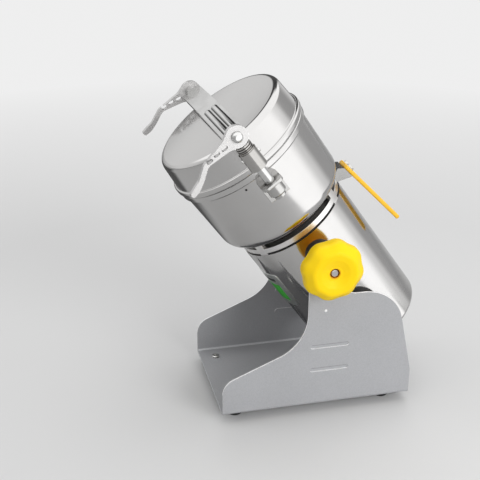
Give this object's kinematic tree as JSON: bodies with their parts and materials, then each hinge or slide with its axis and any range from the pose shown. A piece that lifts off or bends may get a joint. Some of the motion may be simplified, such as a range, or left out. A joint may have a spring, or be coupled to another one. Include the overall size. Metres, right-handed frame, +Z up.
{
  "type": "electric grain mill",
  "caption": "Swing-type electric grain mill: a polished steel motor drum with a lever-clamped lid, hung between the cheeks of a grey folded stand and locked by a lobed yellow knob.",
  "frame": {"origin": "Middle of the underside of the whole mill: the level on which the four rubber feet stand, under the middle of its bounding box.", "axes": "+Z up from the table; +X along the base away from the pouring end, towards the carrying handle; the knob is on the -Y side; the drum leans 35.75 degrees towards -X at rest."},
  "size_m": [0.2876, 0.2054, 0.361],
  "materials": {
    "grey_paint": "fine-textured grey paint",
    "black_rubber": "matt",
    "screw_steel": "zinc-bright",
    "bush_nylon": "matt",
    "dark_boss": "black",
    "axle_steel": "turned",
    "yellow_plastic": "glossy yellow",
    "polished_steel": "mirror-polished stainless",
    "neck_black": "black",
    "grey_bracket": "satin grey",
    "gasket": "matt",
    "clamp_chrome": "bright plated",
    "plate_aluminium": "satin",
    "black_plastic": "fine grain",
    "red_plastic": "glossy red",
    "motor_aluminium": "cast",
    "bearing_steel": "ground",
    "core_steel": "laminated",
    "copper": "enamelled copper wire, with brass standing in for the metal",
    "fan_plastic": "matt",
    "blade_steel": "ground stainless"
  },
  "bodies": {
    "stand": {"stand_frame": "grey_paint", "foot_1": "black_rubber", "foot_screw_1": "screw_steel", "foot_2": "black_rubber", "foot_screw_2": "screw_steel", "foot_3": "black_rubber", "foot_screw_3": "screw_steel", "foot_4": "black_rubber", "foot_screw_4": "screw_steel", "pivot_bush_near": "bush_nylon", "pivot_bush_far": "bush_nylon"},
    "drum": {"pivot_boss_near": "dark_boss", "pivot_boss_far": "dark_boss", "clamp_axle": "axle_steel", "pivot_axle": "axle_steel", "lock_nut": "axle_steel", "motor_housing": "polished_steel", "housing_cap": "polished_steel", "neck_ring": "polished_steel", "neck_core": "neck_black", "grinding_chamber": "polished_steel", "clamp_rod_near": "clamp_chrome", "clamp_bracket_near": "clamp_chrome", "clamp_rod_far": "clamp_chrome", "clamp_bracket_far": "clamp_chrome", "handle_screw_1": "screw_steel", "handle_screw_2": "screw_steel", "handle_grip": "yellow_plastic", "handle_bracket": "grey_bracket", "nameplate": "plate_aluminium", "switch_frame": "black_plastic", "reset_collar": "black_plastic", "cable_gland": "black_plastic", "end_bell_upper": "motor_aluminium", "bearing_upper": "bearing_steel", "end_bell_lower": "motor_aluminium", "bearing_lower": "bearing_steel", "stator_core": "core_steel", "stator_coils": "copper"},
    "washer": {"knob_washer": "axle_steel"},
    "knob": {"lock_knob": "yellow_plastic", "knob_insert": "axle_steel"},
    "lid": {"lid_shell": "polished_steel", "lid_gasket": "gasket", "clamp_strap": "clamp_chrome", "strap_pad": "gasket", "lever_pin_near": "clamp_chrome", "lever_pin_far": "clamp_chrome", "clamp_sleeve_near": "clamp_chrome", "clamp_sleeve_far": "clamp_chrome"},
    "near_lever": {"lever_near": "clamp_chrome"},
    "far_lever": {"lever_far": "clamp_chrome"},
    "rotor": {"rotor_shaft": "blade_steel", "armature": "core_steel", "cooling_fan": "fan_plastic", "blade_lower": "blade_steel", "blade_upper": "blade_steel", "blade_nut": "blade_steel"},
    "rocker": {"switch_rocker": "red_plastic"},
    "button": {"reset_button": "red_plastic"}
  },
  "joints": [
    {"name": "drum_swing", "type": "hinge", "parent": "stand", "child": "drum", "pos_m": [0.01909, 0.00256, 0.184], "axis": [0, 1, 0], "range_deg": [-85, 36]},
    {"name": "knob_travel", "type": "slide", "parent": "drum", "child": "washer", "axis": [0, -1, 0], "range_m": [0, 0.0035]},
    {"name": "knob_turn", "type": "hinge", "parent": "washer", "child": "knob", "pos_m": [0.01909, -0.07124, 0.184], "axis": [0, -1, 0], "range_deg": [0, 745]},
    {"name": "lid_lift", "type": "slide", "parent": "drum", "child": "lid", "axis": [-0.5842, 0, 0.8116], "range_m": [0, 0.06]},
    {"name": "lever_near_turn", "type": "hinge", "parent": "lid", "child": "near_lever", "pos_m": [-0.08138, -0.08732, 0.33162], "axis": [-0.0425, 0.9986, -0.0306], "range_deg": [0, 100]},
    {"name": "lever_far_turn", "type": "hinge", "parent": "lid", "child": "far_lever", "pos_m": [-0.08903, 0.09243, 0.32611], "axis": [-0.0425, 0.9986, -0.0306], "range_deg": [-12, 88]},
    {"name": "rotor_spin", "type": "hinge", "parent": "drum", "child": "rotor", "pos_m": [0.01909, 0.00256, 0.184], "axis": [-0.5842, 0, 0.8116], "continuous": true},
    {"name": "switch_rock", "type": "hinge", "parent": "drum", "child": "rocker", "pos_m": [-0.0046, 0.03812, 0.12998], "axis": [-0.4655, -0.8192, -0.3351], "range_deg": [-14, 0]},
    {"name": "reset_press", "type": "slide", "parent": "drum", "child": "button", "axis": [0.6648, -0.5736, 0.4786], "range_m": [0, 0.003], "stiffness_N_per_m": 400, "springref_m": -0.001}
  ],
  "couplings": [
    {"joint": "knob_turn", "follows": "knob_travel", "rad_per_m": 3590.4}
  ]
}
